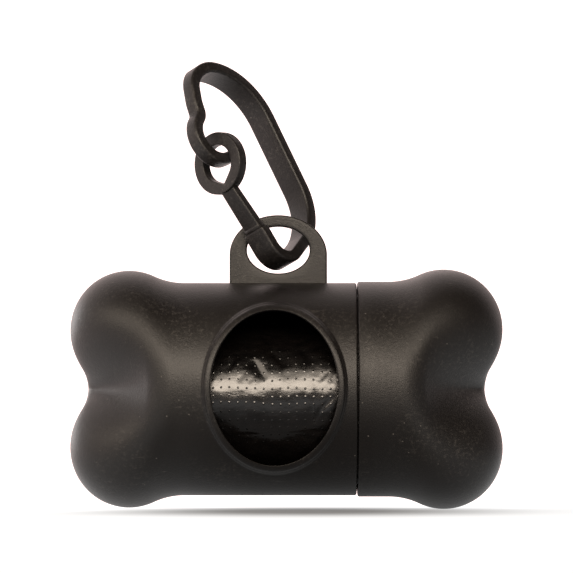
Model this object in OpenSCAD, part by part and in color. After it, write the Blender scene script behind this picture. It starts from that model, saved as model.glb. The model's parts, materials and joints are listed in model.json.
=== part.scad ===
// Bone-shaped dispenser for rolls of dog waste bags.
// Frame: origin on the tube's axis at mid length, +X towards the cap, +Z towards the
// hanging lug, -Y through the dispensing window. All lengths are in millimetres.

/* [Bone shell] */
// Length of the bone from end to end
bone_length = 84; // [80:0.5:92]
// Outer diameter of the middle tube
tube_diameter = 41.2; // [40:0.1:46]
// Wall of the tube round the bore that holds the roll
tube_wall = 3.1; // [2.8:0.1:3.4]
// Wall of the rounded bone ends
end_wall = 1.8; // [1.5:0.1:2.2]
// How far each lobe stands above the tube
lobe_rise = 2.5; // [1.5:0.1:3.5]
// Radius of each lobe, seen from the front
lobe_radius = 11.4; // [10.8:0.1:12]
// Radius of the hollow where a lobe runs into the tube
flare_radius = 14; // [10:0.5:18]
// Depth of the notch between the two lobes of an end
notch_depth = 3.4; // [2.6:0.1:4.2]
// Radius at the tip of an end's front and back profile
nose_radius = 5; // [4:0.5:6]
// Radius of the shoulder where the front and back turn in towards the notch
shoulder_radius = 6; // [5:0.5:8]
// Level length between that shoulder and the start of the tube
shoulder_level = 2; // [1:0.5:4]

/* [Cap joint] */
// Length of the cap, from the parting line to the end of the bone
cap_length = 28.4; // [26:0.2:32]
// How far the cap's skin stands proud of the tube
cap_proud = 0.25; // [0.1:0.05:0.4]
// Length of the neck that plugs into the cap
neck_length = 6; // [4:0.5:8]
// Wall of the neck
neck_wall = 1.3; // [1.1:0.1:1.5]
// Gap at the parting line
parting_gap = 0.2; // [0.1:0.05:0.3]
// Radial clearance of the cap on the neck's friction ribs
fit_clearance = 0.04; // [0.02:0.01:0.1]
// Height of the friction ribs on the neck
rib_height = 0.25; // [0.15:0.05:0.35]
// Width of a friction rib
rib_width = 1; // [0.6:0.1:1.6]
// Number of friction ribs
rib_count = 8; // [4:1:12]
// Width of the key that lines the cap up with the body
key_width = 4; // [3:0.5:6]
// Clearance round the key in its slot
key_clearance = 0.12; // [0.08:0.02:0.2]
// Room past the neck's end at the bottom of the socket
socket_gap = 0.6; // [0.3:0.1:1]
// Chamfer on both rims at the parting line
rim_chamfer = 0.3; // [0.1:0.05:0.5]

/* [Dispensing window] */
// Width of the oval window
window_width = 24.4; // [20:0.2:26]
// Height of the oval window
window_height = 29.8; // [24:0.2:32]
// Centre of the window along the tube
window_x = -2.3; // [-4:0.1:0]
// Width of the raised lip's crown
lip_width = 1.2; // [0.8:0.1:1.4]
// Height of the lip above the tube
lip_height = 1; // [0.6:0.1:1.4]
// Height of the lip's wider foot
lip_foot = 0.45; // [0.3:0.05:0.5]
// How far the lip's foot spreads past its crown
lip_flare = 0.5; // [0.3:0.05:1]

/* [Hanging lug] */
// Width of the lug
lug_width = 19; // [17:0.2:21]
// Height of the lug above the tube
lug_height = 13.3; // [12.4:0.1:14]
// Thickness of the lug
lug_thickness = 2; // [1.8:0.1:2.2]
// Height of the lug's arched top
lug_arch = 7.8; // [6:0.2:9]
// Centre of the lug along the tube
lug_x = -1.6; // [-3:0.1:0]
// Width of the oval eye through the lug
eye_width = 12.2; // [11.6:0.1:13]
// Height of the oval eye
eye_height = 9.1; // [8.8:0.1:9.6]
// Height of the eye's centre above the tube
eye_rise = 6.4; // [6:0.1:6.8]

/* [Bag roll] */
// Outer diameter of a full roll
roll_diameter = 30; // [24:0.5:31]
// Room from each end of the bone to the roll
roll_end_room = 16; // [16:0.5:20]
// Outer diameter of the cardboard core
core_diameter = 15; // [12:0.5:18]
// Wall of the cardboard core
core_wall = 0.9; // [0.6:0.1:1.4]
// Gap between the resting roll and the bore under it
roll_gap = 0.3; // [0.2:0.05:0.5]

/* [Clip] */
// Width of the clip's band at the spine
band_width = 5.2; // [4.5:0.1:5.6]
// Width of the band at the hook
hook_width = 3; // [2.4:0.1:3.4]
// Thickness of the band
band_thickness = 2.3; // [2:0.05:2.6]
// Width of the gate arm at its root
gate_root_width = 4; // [3.6:0.1:4.4]
// Width of the gate arm at its ring
gate_width = 3.4; // [3:0.1:3.8]
// Thickness of the gate arm
gate_thickness = 1.9; // [1.6:0.05:2.1]
// Outer diameter of the gate's ring
ring_diameter = 12.2; // [11.4:0.1:13]
// Hole through the gate's ring
ring_hole = 7.2; // [6.6:0.1:7.8]
// Distance from the ring's centre to the narrow end of its drop-shaped hole
hole_point = 3.9; // [3.7:0.1:4.1]
// Radius of that narrow end
point_radius = 0.5; // [0.4:0.1:0.7]
// Thickness of the gate's ring
ring_thickness = 2.1; // [1.8:0.05:2.3]
// Lean of the ring towards the spine, in degrees
ring_lean = 15; // [10:1:18]
// How far the gate's round root stays inside the band's faces
root_inset = 0.1; // [0.05:0.05:0.3]
// Clearance round the gate's root in its seat
root_clearance = 0.05; // [0.03:0.01:0.1]
// Height of the root's centre over the end of the band that carries it
root_rise = 0.45; // [0.4:0.05:0.6]
// Distance of the ring's centre behind the root of the hook's nose
ring_back = 1.8; // [1.6:0.1:2]
// Distance of the ring's centre below the root of the hook's nose
ring_drop = 0.5; // [0.4:0.1:0.6]

/* [Clip band] */
// Straight run from the gate's root down to the heel
heel_run = 4.5; // [4:0.1:5]
// Radius of the heel that hangs in the lug's eye
heel_radius = 3.8; // [3.6:0.1:4]
// Straight run from the heel towards the spine
rise_run = 4.5; // [4:0.1:5]
// Radius of the bend from that run into the spine
rise_radius = 11.7; // [11:0.1:12.4]
// Length of the straight spine
spine_length = 15; // [10:0.5:24]
// Radius of the shoulder over the spine
top_radius = 13.3; // [12.6:0.1:14]
// Straight run at the crown
crown_run = 0.6; // [0.4:0.1:1]
// Radius of the crown
crown_radius = 5.2; // [5:0.1:5.6]
// Straight run from the crown down to the hook
brow_run = 2.2; // [1.8:0.1:2.6]
// Radius of the slow bend at the end of that run
brow_radius = 7.5; // [7:0.1:8]
// Straight run before the band turns back
nape_run = 1.1; // [0.8:0.1:1.4]
// Radius at which the band turns back
nape_radius = 2.4; // [2.2:0.1:2.8]
// Straight run into the hook
hook_run = 0.3; // [0.2:0.1:0.6]
// Radius of the hook that catches the gate's ring
hook_radius = 4.8; // [4.6:0.1:5]
// Straight run of the hook's nose
nose_run = 2.5; // [2:0.1:3]
// Height along the clip above which the hook's side of the band is slim
slim_above = 15; // [14:0.5:16]
// Distance across the clip up to which the band is slim
slim_to = 4.5; // [4:0.5:5]
// Distance across the clip from which the band is full
full_from = 12; // [11:0.5:13]

/* [Clip place] */
// Distance of the clip's origin beside the lug's centre
clip_side = 2.35; // [2.2:0.05:2.5]
// Distance of the clip's origin in front of the lug
clip_front = 6.5; // [6.3:0.1:6.7]
// Height of the clip's origin over the bottom of the lug's eye
clip_above = 0.25; // [0.2:0.05:0.3]
// Distance of the gate's root across the clip
root_x = 2.75; // [2.6:0.05:2.9]
// Distance of the gate's root along the clip
root_z = 8.6; // [8.4:0.1:8.8]

/* [Hidden] */
$fn = 96;

plastic_black = "#2f2a28";
film_black = "#161416";
card_brown = "#a58862";

tube_radius = tube_diameter / 2;
bore_radius = tube_radius - tube_wall;
neck_radius = bore_radius + neck_wall;
cap_radius = tube_radius + cap_proud;
bone_half = bone_length / 2;
parting_x = bone_half - cap_length;
overlap = 0.5;             // how far one solid runs into the next one that it is fused with
past = 1;                  // how far a cutter runs past what it cuts
lap = 0.1;                 // how far a tube runs into the root of a bone end
end_proud = 0.08;          // how far that root stands proud of the tube's skin
bore_step = 0.05;          // how far the hollow of an end stays inside the bore

// Steps of the end surfaces: round the axis, and from the notch's bottom to the tube
around = 44;
inner_around = 36;
end_steps = 17;
// Steps round the window, the lug's eye and the lug's arch, and degrees per step of the clip
window_steps = 72;
eye_steps = 48;
arch_steps = 24;
run_step = 7;

// ---- Bone end: one profile upright through the lobes, another level through the notch ----
//
// Both run from the notch's bottom to the tube as [distance from the tip, distance from the
// axis]. Each is a list of arcs [centre, radius, start angle, turn, side], and the lines that
// touch two arcs join them. A wall's inset adds to an arc's radius, times its side.

// Distance of the lobe's centre from the axis, for a tube of this outer radius
function lobe_off(radius) = radius + lobe_rise - lobe_radius;

// Radius of the notch arc that touches both lobes and passes through the notch's bottom
function notch_radius(radius) =
    let (side = lobe_radius - notch_depth)
    (side * side + pow(lobe_off(radius), 2) - lobe_radius * lobe_radius) / (2 * notch_depth);

// Distance from the tip at which the flare meets the tube
function flare_start(radius) =
    let (reach = flare_radius + lobe_radius, rise = radius + flare_radius - lobe_off(radius))
    lobe_radius + sqrt(reach * reach - rise * rise);

// Upright profile: notch, lobe and flare
function lobe_arcs(radius) =
    let (
        notch = [notch_depth - notch_radius(radius), 0],
        lobe = [lobe_radius, lobe_off(radius)],
        flare = [flare_start(radius), radius + flare_radius],
        first = atan2(lobe[1], lobe[0] - notch[0]),
        last = atan2(flare[1] - lobe[1], flare[0] - lobe[0])
    ) [
        [notch, notch_radius(radius), 0, first, 1],
        [lobe, lobe_radius, 180 + first, last - first - 180, -1],
        [flare, flare_radius, 180 + last, 90 - last, 1]
    ];

// Level profile: nose, a slope, shoulder, and a level line to the tube, which an arc of no size
// ends
function front_arcs(radius) =
    let (
        nose = [notch_depth + nose_radius, 0],
        shoulder = [flare_start(radius) - shoulder_level, radius - shoulder_radius],
        gap = shoulder - nose,
        lean = atan2(gap[1], gap[0]) + acos((nose_radius - shoulder_radius) / norm(gap))
    ) [
        [nose, nose_radius, 180, lean - 180, -1],
        [shoulder, shoulder_radius, lean, 90 - lean, -1],
        [[flare_start(radius), radius], 0, 90, 0, -1]
    ];

function arc_at(arc, inset, part) =
    let (angle = arc[2] + part * arc[3])
    arc[0] + (arc[1] + arc[4] * inset) * [cos(angle), sin(angle)];

function arc_length(arc) = arc[1] * abs(arc[3]) * PI / 180;

// Length of the line from one arc to the next
function line_length(arcs, i) =
    i + 1 < len(arcs) ? norm(arc_at(arcs[i + 1], 0, 0) - arc_at(arcs[i], 0, 1)) : 0;

function profile_length(arcs, i = 0) =
    i == len(arcs) ? 0 :
    arc_length(arcs[i]) + line_length(arcs, i) + profile_length(arcs, i + 1);

// Point of a profile after a run along it, set in by a wall
function profile_at(arcs, inset, run, i = 0) =
    let (bend = arc_length(arcs[i]), line = line_length(arcs, i))
    run <= bend ? arc_at(arcs[i], inset, run / bend) :
    run <= bend + line ?
        let (from = arc_at(arcs[i], inset, 1), to = arc_at(arcs[i + 1], inset, 0))
        from + (to - from) * (run - bend) / line :
    profile_at(arcs, inset, run - bend - line, i + 1);

// One ring of the end: upright the lobe profile rules, and level the front profile
function end_ring(lobe, front, count, limit) = [
    for (i = [0:count - 1])
        let (
            turn = 360 * i / count,
            share = pow(cos(turn), 2),
            mix = share * lobe + (1 - share) * front,
            r = min(mix[1], limit)
        )
        [-mix[0], r * sin(turn), r * cos(turn)]
];

// Plain ring round the axis at a distance from the tip
function round_ring(from_tip, radius, count) = [
    for (i = [0:count - 1])
        let (turn = 360 * i / count)
        [-from_tip, radius * sin(turn), radius * cos(turn)]
];

// Closed solid of one bone end, tip at x = 0, running towards -x. Its root ring has the seam's
// radius, and its closing face dips inside the tube or bore that swallows it.
module bone_end(radius, inset, count, seam_radius) {
    lobe = lobe_arcs(radius);
    front = front_arcs(radius);
    lobe_step = profile_length(lobe) / end_steps;
    front_step = profile_length(front) / end_steps;
    limit = inset > 0 ? seam_radius : radius + lobe_rise;
    root_x = flare_start(radius);
    layers = concat(
        [for (k = [1:end_steps - 1])
            end_ring(profile_at(lobe, inset, k * lobe_step),
                     profile_at(front, inset, k * front_step), count, limit)],
        [round_ring(root_x, seam_radius, count)],
        [round_ring(root_x + overlap, seam_radius - overlap, count)]
    );
    points = concat([[-notch_depth - inset, 0, 0]], [for (ring = layers) each ring]);
    last = len(layers) - 1;
    tip_faces = [for (i = [0:count - 1]) [0, 1 + i, 1 + (i + 1) % count]];
    side_faces = [for (k = [0:last - 1], i = [0:count - 1])
        let (a = 1 + k * count, b = a + count, j = (i + 1) % count)
        each [[a + i, b + i, b + j], [a + i, b + j, a + j]]];
    root_face = [[for (i = [count - 1:-1:0]) 1 + last * count + i]];
    polyhedron(points, concat(tip_faces, side_faces, root_face), convexity = 6);
}

// Where the straight tube ends, measured from the middle of the bone
function tube_half(radius) = bone_half - flare_start(radius) + lap;

// Places a bone end on the right (side = 1) or the left (side = -1)
module end_at(side) {
    mirror([side < 0 ? 1 : 0, 0, 0])
        translate([bone_half, 0, 0])
            children();
}

// Cylinder along +X from one station to another
module x_bar(from, to, radius) {
    translate([from, 0, 0])
        rotate([0, 90, 0])
            cylinder(r = radius, h = to - from);
}

// Ring-shaped chamfer cutter, widest at the given rim and facing along side
module rim_cut(x, radius, side) {
    translate([x, 0, 0])
        rotate([0, 90 * side, 0])
            rotate_extrude()
                polygon([[radius - rim_chamfer, overlap],
                         [radius + overlap, overlap],
                         [radius + overlap, -rim_chamfer - overlap],
                         [radius, -rim_chamfer],
                         [radius - rim_chamfer, 0]]);
}

// ---- Window, lug and neck of the main body ----

function oval(width, height, count) =
    [for (i = [0:count - 1]) [width / 2 * cos(360 * i / count), height / 2 * sin(360 * i / count)]];

// Oval prism along -Y, from the tube's axis out through its front
module window_prism(grow, reach) {
    translate([window_x, 0, 0])
        rotate([90, 0, 0])
            linear_extrude(height = reach)
                polygon(oval(window_width + 2 * grow, window_height + 2 * grow, window_steps));
}

// One step of the window's lip, which follows the tube at a height above it
module lip_step(spread, height) {
    intersection() {
        window_prism(spread, tube_radius + height + past);
        x_bar(-bone_half, parting_x, tube_radius + height);
    }
}

// Lip: a low wide foot under a narrower crown
module window_lip() {
    lip_step(lip_width + lip_flare, lip_foot);
    lip_step(lip_width, lip_height);
}

eye_z = tube_radius + eye_rise;
lug_arch_z = tube_radius + lug_height - lug_arch;

module lug() {
    arch = [for (k = [0:arch_steps])
        let (turn = 180 * k / arch_steps)
        [lug_width / 2 * cos(turn), lug_arch * sin(turn)]];
    foot_z = bore_radius + overlap - lug_arch_z;
    translate([lug_x, lug_thickness / 2, lug_arch_z])
        rotate([90, 0, 0])
            linear_extrude(height = lug_thickness)
                difference() {
                    polygon(concat(arch, [[-lug_width / 2, foot_z], [lug_width / 2, foot_z]]));
                    translate([0, eye_z - lug_arch_z])
                        polygon(oval(eye_width, eye_height, eye_steps));
                }
}

neck_end = parting_x + neck_length;
key_radius = (cap_radius + neck_radius) / 2;    // the key reaches half way into the cap's wall

// Bar along the neck that stands out from the axis, short of the neck's end by its own overlap
module neck_bar(width, reach) {
    translate([parting_x - overlap, -width / 2, 0])
        cube([neck_length, width, reach]);
}

// Neck with friction ribs all round and one key at the back
module neck() {
    x_bar(parting_x - overlap, neck_end, neck_radius - rib_height);
    intersection() {
        for (k = [0:rib_count - 1])
            rotate([360 * (k + 0.5) / rib_count, 0, 0])
                neck_bar(rib_width, neck_radius + past);
        x_bar(parting_x - overlap, neck_end, neck_radius);
    }
    rotate([-90, 0, 0])
        neck_bar(key_width, key_radius);
}

module main_body() {
    color(plastic_black)
        difference() {
            union() {
                end_at(-1)
                    bone_end(tube_radius, 0, around, tube_radius + end_proud);
                difference() {
                    x_bar(-tube_half(tube_radius), parting_x, tube_radius);
                    rim_cut(parting_x, tube_radius, 1);
                }
                window_lip();
                lug();
                neck();
            }
            end_at(-1)
                bone_end(tube_radius, end_wall, inner_around, bore_radius - bore_step);
            x_bar(-tube_half(tube_radius), neck_end + past, bore_radius);
            window_prism(0, tube_radius + lip_height + past);
        }
}

// ---- Cap ----

cap_x = parting_x + parting_gap;
socket_depth = neck_length + socket_gap;

module cap() {
    color(plastic_black)
        difference() {
            union() {
                end_at(1)
                    bone_end(cap_radius, 0, around, cap_radius + end_proud);
                difference() {
                    x_bar(cap_x, tube_half(cap_radius), cap_radius);
                    rim_cut(cap_x, cap_radius, -1);
                }
            }
            end_at(1)
                bone_end(cap_radius, end_wall, inner_around, bore_radius - bore_step);
            x_bar(cap_x, tube_half(cap_radius), bore_radius);
            x_bar(cap_x - past, cap_x + socket_depth, neck_radius + fit_clearance);
            rotate([-90, 0, 0])
                translate([cap_x - past, -key_width / 2 - key_clearance, 0])
                    cube([socket_depth + past, key_width + 2 * key_clearance,
                          key_radius + key_clearance]);
        }
}

// ---- Bag roll ----

roll_radius = roll_diameter / 2;
roll_length = bone_length - 2 * roll_end_room;
roll_z = roll_radius + roll_gap - bore_radius;
core_radius = core_diameter / 2;

module bag_roll() {
    color(film_black)
        translate([0, 0, roll_z])
            difference() {
                x_bar(-roll_length / 2, roll_length / 2, roll_radius);
                x_bar(-roll_length, roll_length, core_radius);
            }
}

module roll_core() {
    color(card_brown)
        translate([0, 0, roll_z])
            difference() {
                x_bar(-roll_length / 2, roll_length / 2, core_radius);
                x_bar(-roll_length, roll_length, core_radius - core_wall);
            }
}

// ---- Clip: a band bent in one plane, x across the clip, z along it ----

clip_place = [lug_x - clip_side, -clip_front, eye_z - eye_height / 2 + clip_above];
clip_turn = [-23, -14, 53.5];
gate_root = [root_x, root_z];
root_radius = band_thickness / 2 - root_inset;

// Band runs from the gate's root round the bend, spine, top and hook: each run is
// [straight length, arc radius, arc angle], and positive angles turn left.
band_heading = -84;
band_runs = [
    [heel_run, heel_radius, 105],
    [rise_run, rise_radius, 67.5],
    [spine_length, top_radius, 71.5],
    [crown_run, crown_radius, 85],
    [brow_run, brow_radius, 11.5],
    [nape_run, nape_radius, -47.5],
    [hook_run, hook_radius, 153.5],
    [nose_run, 0, 0]
];
reach = spine_length + 2 * (rise_radius + top_radius);     // longer than the clip each way

function run_end(pose, run) =
    let (
        side = sign(run[2]),
        mid = [pose[0] + run[0] * cos(pose[2]), pose[1] + run[0] * sin(pose[2])],
        turned = pose[2] + run[2]
    )
    [mid[0] + side * run[1] * (sin(turned) - sin(pose[2])),
     mid[1] - side * run[1] * (cos(turned) - cos(pose[2])), turned];

// Poses [x, z, heading] along one run, its start left out
function run_poses(pose, run) =
    let (count = ceil(abs(run[2]) / run_step))
    concat(
        [[pose[0] + run[0] * cos(pose[2]), pose[1] + run[0] * sin(pose[2]), pose[2]]],
        [for (k = [1:1:count]) run_end(pose, [run[0], run[1], run[2] * k / count])]
    );

function band_poses(pose, index) =
    index == len(band_runs) ? [] :
    concat(run_poses(pose, band_runs[index]),
           band_poses(run_end(pose, band_runs[index]), index + 1));

// Pose where the nose's straight run, the last one, begins
function band_end(pose, index) =
    index == len(band_runs) - 1 ? pose : band_end(run_end(pose, band_runs[index]), index + 1);

function beside(pose, off) = [pose[0] - off * sin(pose[2]), pose[1] + off * cos(pose[2])];

// Sets a flat outline up in the clip's plane and gives it a width across the plane
module band_plate(width) {
    translate([0, width / 2, 0])
        rotate([90, 0, 0])
            linear_extrude(height = width)
                children();
}

module place_clip() {
    translate(clip_place)
        rotate(clip_turn)
            children();
}

module band_outline() {
    start = [gate_root[0], gate_root[1], band_heading];
    poses = concat([start], band_poses(start, 0));
    half = band_thickness / 2;
    polygon(concat(
        [for (p = poses) beside(p, half)],
        [for (k = [len(poses) - 1:-1:0]) beside(poses[k], -half)]
    ));
}

// Envelope of the band's width: full at the bend and spine, narrow at the hook
module width_envelope() {
    full = band_width / 2;
    slim = hook_width / 2;
    translate([-reach, -full, -reach])
        cube([2 * reach, band_width, reach + slim_above]);
    translate([0, 0, slim_above - overlap])
        linear_extrude(height = reach)
            polygon([[-reach, -slim], [slim_to, -slim], [full_from, -full], [reach, -full],
                     [reach, full], [full_from, full], [slim_to, slim], [-reach, slim]]);
}

module clip_frame() {
    color(plastic_black)
        place_clip()
            difference() {
                intersection() {
                    band_plate(band_width) band_outline();
                    width_envelope();
                }
                at_root()
                    band_plate(band_width + past) circle(r = root_radius + root_clearance);
                at_root()
                    band_plate(band_width + past)
                        translate([-band_thickness, -root_rise])
                            square([2 * band_thickness, band_thickness]);
            }
}

// The gate's ring hangs round the hook's nose: its centre lies back from the nose's root
nose_root = band_end([gate_root[0], gate_root[1], band_heading], 0);
ring_centre = [nose_root[0] - ring_back, nose_root[1] - ring_drop];
ring_wall = (ring_diameter - ring_hole) / 2;
arm_end = ring_centre
    - (ring_hole / 2 + ring_wall / 2) * [sin(ring_lean), cos(ring_lean)];
arm_vector = arm_end - gate_root;
arm_lean = atan2(arm_vector[0], arm_vector[1]);

module at_root() {
    translate([gate_root[0], 0, gate_root[1]])
        children();
}

module gate_ring() {
    rotate([0, ring_lean - 90, 0])
        translate([0, 0, -ring_thickness / 2])
            linear_extrude(height = ring_thickness)
                difference() {
                    circle(d = ring_diameter);
                    hull() {
                        circle(d = ring_hole);
                        translate([-hole_point, 0])
                            circle(r = point_radius);
                    }
                }
}

// Tapered arm that stands on the root's centre
module gate_arm() {
    rotate([90, 0, 90])
        translate([0, 0, -gate_thickness / 2])
            linear_extrude(height = gate_thickness)
                polygon([[-gate_root_width / 2, 0],
                         [gate_root_width / 2, 0],
                         [gate_width / 2, norm(arm_vector)],
                         [-gate_width / 2, norm(arm_vector)]]);
}

module clip_gate() {
    color(plastic_black)
        place_clip() {
            at_root()
                band_plate(gate_root_width) circle(r = root_radius);
            at_root()
                rotate([0, arm_lean, 0])
                    gate_arm();
            translate([ring_centre[0], 0, ring_centre[1]])
                gate_ring();
        }
}

main_body();
cap();
bag_roll();
roll_core();
clip_frame();
clip_gate();
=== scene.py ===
"""Looks of a bone-shaped bag dispenser, laid out as an add-on round the packed CAD frame."""
import json
import math

import bmesh
import bpy
import numpy as np
from bpy.props import FloatProperty, FloatVectorProperty, IntProperty, PointerProperty
from mathutils import Euler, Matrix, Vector


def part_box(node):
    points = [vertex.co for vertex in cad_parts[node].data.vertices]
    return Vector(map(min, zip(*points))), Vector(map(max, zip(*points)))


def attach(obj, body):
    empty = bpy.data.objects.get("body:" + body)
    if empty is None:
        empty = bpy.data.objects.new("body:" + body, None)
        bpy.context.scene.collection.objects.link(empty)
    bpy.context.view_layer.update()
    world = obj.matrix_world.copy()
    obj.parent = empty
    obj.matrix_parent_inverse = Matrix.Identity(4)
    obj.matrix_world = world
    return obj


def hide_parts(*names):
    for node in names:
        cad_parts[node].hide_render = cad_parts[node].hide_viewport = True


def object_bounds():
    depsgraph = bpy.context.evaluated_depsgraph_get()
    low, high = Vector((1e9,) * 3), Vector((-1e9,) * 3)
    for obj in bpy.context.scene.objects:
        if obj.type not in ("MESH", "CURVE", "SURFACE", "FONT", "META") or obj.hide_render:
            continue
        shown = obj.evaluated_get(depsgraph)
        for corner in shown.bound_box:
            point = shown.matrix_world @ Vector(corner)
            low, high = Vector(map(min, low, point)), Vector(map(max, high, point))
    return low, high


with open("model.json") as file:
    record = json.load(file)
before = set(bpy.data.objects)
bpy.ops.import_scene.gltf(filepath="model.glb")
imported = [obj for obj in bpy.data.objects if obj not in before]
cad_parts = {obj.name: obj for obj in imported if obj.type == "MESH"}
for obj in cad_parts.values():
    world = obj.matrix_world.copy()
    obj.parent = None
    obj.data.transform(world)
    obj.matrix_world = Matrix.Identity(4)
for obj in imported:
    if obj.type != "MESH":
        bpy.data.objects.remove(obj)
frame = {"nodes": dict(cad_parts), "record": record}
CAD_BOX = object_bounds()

bl_info = {
    "name": "Bone bag dispenser",
    "version": (1, 0, 0),
    "blender": (4, 5, 0),
    "location": "3D View > Sidebar > Dispenser",
    "description": "Builds a bone-shaped bag dispenser, its roll, clip and studio",
    "category": "Add Mesh",
}

MM = 0.001


# ---- Sizes -----------------------------------------------

def length(name, description, millimetres):
    """A length property, its default written in millimetres."""
    return FloatProperty(name=name, description=description, default=millimetres * MM,
                         unit="LENGTH", precision=5)


def angle(name, description, degrees):
    """An angle property, its default written in degrees."""
    return FloatProperty(name=name, description=description, default=math.radians(degrees),
                         unit="ROTATION")


def number(name, description, value):
    """A plain number property."""
    return FloatProperty(name=name, description=description, default=value)


def count(name, description, value):
    """A whole number property."""
    return IntProperty(name=name, description=description, default=value, min=3)


def colour(name, description, value):
    """A colour property, as linear red, green and blue."""
    return FloatVectorProperty(name=name, description=description, default=value,
                               subtype="COLOR", min=0, max=1)


class DispenserShell(bpy.types.PropertyGroup):
    """Sizes of the bone shell that its CAD boxes don't tell."""

    lobe_radius: length("Lobe radius", "Radius of each lobe, seen from the front", 11.4)
    flare_radius: length("Flare radius", "Radius of the hollow between a lobe and the tube", 14)
    notch_depth: length("Notch depth", "Depth of the notch between two lobes", 3.4)
    nose: length("Nose radius", "Radius of the end's front profile at the notch", 5)
    bend: length("Shoulder radius", "Radius over which the front turns to the tube", 6)
    level: length("Level", "Straight length between the shoulder and the flare's start", 2)
    wall: length("End wall", "Wall of the bone ends", 1.8)
    parting_gap: length("Parting gap", "Gap between the body and the cap", 0.2)
    chamfer: length("Rim chamfer", "Chamfer on both rims of the parting line", 0.3)
    neck_radius: length("Neck radius", "Outer radius over the neck's ribs", 18.8)
    rib_height: length("Rib height", "Height of the neck's friction ribs", 0.25)
    rib_width: length("Rib width", "Width of the neck's friction ribs", 1)
    rib_count: count("Ribs", "Number of friction ribs", 8)
    key_width: length("Key width", "Width of the key at the neck's back", 4)
    fit: length("Fit", "Radial clearance of the socket on the neck", 0.04)
    key_fit: length("Key fit", "Clearance round the key", 0.12)
    socket_gap: length("Socket gap", "Room past the neck's end", 0.6)
    around: count("Steps round", "Steps round the tube, a multiple of 16", 192)
    along: count("Steps along", "Steps from the notch to the tube", 72)


class DispenserWindow(bpy.types.PropertyGroup):
    """Sizes of the oval window and its lip."""

    width: length("Width", "Width of the window", 24.4)
    height: length("Height", "Height of the window", 29.8)
    centre: length("Centre", "Place of the window along the tube", -2.3)
    margin: length("Margin", "Tube left of the lip that the window's patch takes in", 1.5)


class DispenserLug(bpy.types.PropertyGroup):
    """Sizes of the hanging lug."""

    width: length("Width", "Width of the lug", 19)
    arch: length("Arch", "Height of the arched top", 7.8)
    centre: length("Centre", "Place of the lug along the tube", -1.6)
    thickness: length("Thickness", "Thickness of the lug", 2)
    eye_width: length("Eye width", "Width of the oval eye", 12.2)
    eye_height: length("Eye height", "Height of the oval eye", 9.1)
    eye_rise: length("Eye rise", "Height of the eye's centre above the tube", 6.4)
    rounding: length("Rounding", "Radius of the lug's moulded edges", 0.35)


class DispenserRoll(bpy.types.PropertyGroup):
    """Sizes of the film on the roll."""

    dot_pitch: length("Dot pitch", "Distance between embossed dots", 1.6)
    dot_radius: length("Dot radius", "Radius of one embossed dot", 0.24)
    ripple: length("Ripple", "Height of each of the film's slow ripples", 0.014)
    edge_step: length("Edge step", "Step at the film's free edge", 0.08)
    wind_pitch: length("Wind pitch", "Distance between the visible windings on an end", 0.55)
    around: count("Steps round", "Steps round the roll", 300)
    along: count("Steps along", "Steps along the roll", 180)


class DispenserClip(bpy.types.PropertyGroup):
    """Sizes of the clip's band, gate and ring, in the clip's own plane."""

    side: length("Beside the lug", "Place of the clip's origin beside the lug's centre", -2.35)
    front: length("In front", "Place of the clip's origin in front of the lug", -6.5)
    above: length("Above the eye", "Place of the clip's origin above the eye's bottom", 0.25)
    turn: FloatVectorProperty(name="Turn", description="Turn of the clip about X, Y and Z",
                              default=[math.radians(a) for a in (-23, -14, 53.5)],
                              subtype="EULER")
    band_width: length("Band width", "Width of the band at the spine", 5.2)
    hook_width: length("Hook width", "Width of the band at the hook", 3)
    thickness: length("Thickness", "Thickness of the band", 2.3)
    slim_to: length("Slim to", "The band is slim up to here across the clip", 4.5)
    full_from: length("Full from", "The band is full from here across the clip", 12)
    spine: length("Spine", "Length of the straight spine", 15)
    root_x: length("Root across", "Place of the gate's root across the clip", 2.75)
    root_z: length("Root along", "Place of the gate's root along the clip", 8.6)
    seat_drop: length("Seat drop", "The frame stops this far under the root", 0.45)
    root_width: length("Gate root width", "Width of the gate arm at its root", 4)
    gate_width: length("Gate width", "Width of the gate arm at its ring", 3.4)
    gate_thickness: length("Gate thickness", "Thickness of the gate arm", 1.9)
    root_inset: length("Root inset", "How far the gate's root stays inside the band", 0.1)
    ring_diameter: length("Ring diameter", "Outer diameter of the gate's ring", 12.2)
    ring_hole: length("Ring hole", "Hole through the gate's ring", 7.2)
    hole_point: length("Hole point", "Distance of the hole's narrow end from its centre", 3.9)
    point_radius: length("Point radius", "Radius of the hole's narrow end", 0.5)
    ring_thickness: length("Ring thickness", "Thickness of the gate's ring", 2.1)
    ring_lean: angle("Ring lean", "Lean of the ring towards the spine", 15)
    ring_back: length("Ring back", "Ring's centre behind the nose's root", 1.8)
    ring_drop: length("Ring drop", "Ring's centre below the nose's root", 0.5)


class DispenserColours(bpy.types.PropertyGroup):
    """Colours of the plastics, the film and the core."""

    shell_dark: colour("Shell, dark", "Shell's plastic where it is darkest",
                       (0.0026, 0.0021, 0.0019))
    shell_light: colour("Shell, light", "Shell's plastic where it is lightest",
                        (0.0042, 0.0034, 0.003))
    clip_dark: colour("Clip, dark", "Clip's plastic where it is darkest",
                      (0.0034, 0.0027, 0.0026))
    clip_light: colour("Clip, light", "Clip's plastic where it is lightest",
                       (0.005, 0.0041, 0.0039))
    dust: colour("Dust", "Scuffs, specks and dust on the plastic", (0.05, 0.046, 0.042))
    film_dark: colour("Film, dark", "Film where it is darkest", (0.0008, 0.0007, 0.0007))
    film_light: colour("Film, light", "Film where it is lightest", (0.0026, 0.002, 0.0018))
    board_dark: colour("Board, dark", "Core between its fibres", (0.16, 0.1, 0.055))
    board_middle: colour("Board, middle", "Core on most of its face", (0.4, 0.28, 0.17))
    board_light: colour("Board, light", "Core on its fibres", (0.55, 0.42, 0.28))


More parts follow.
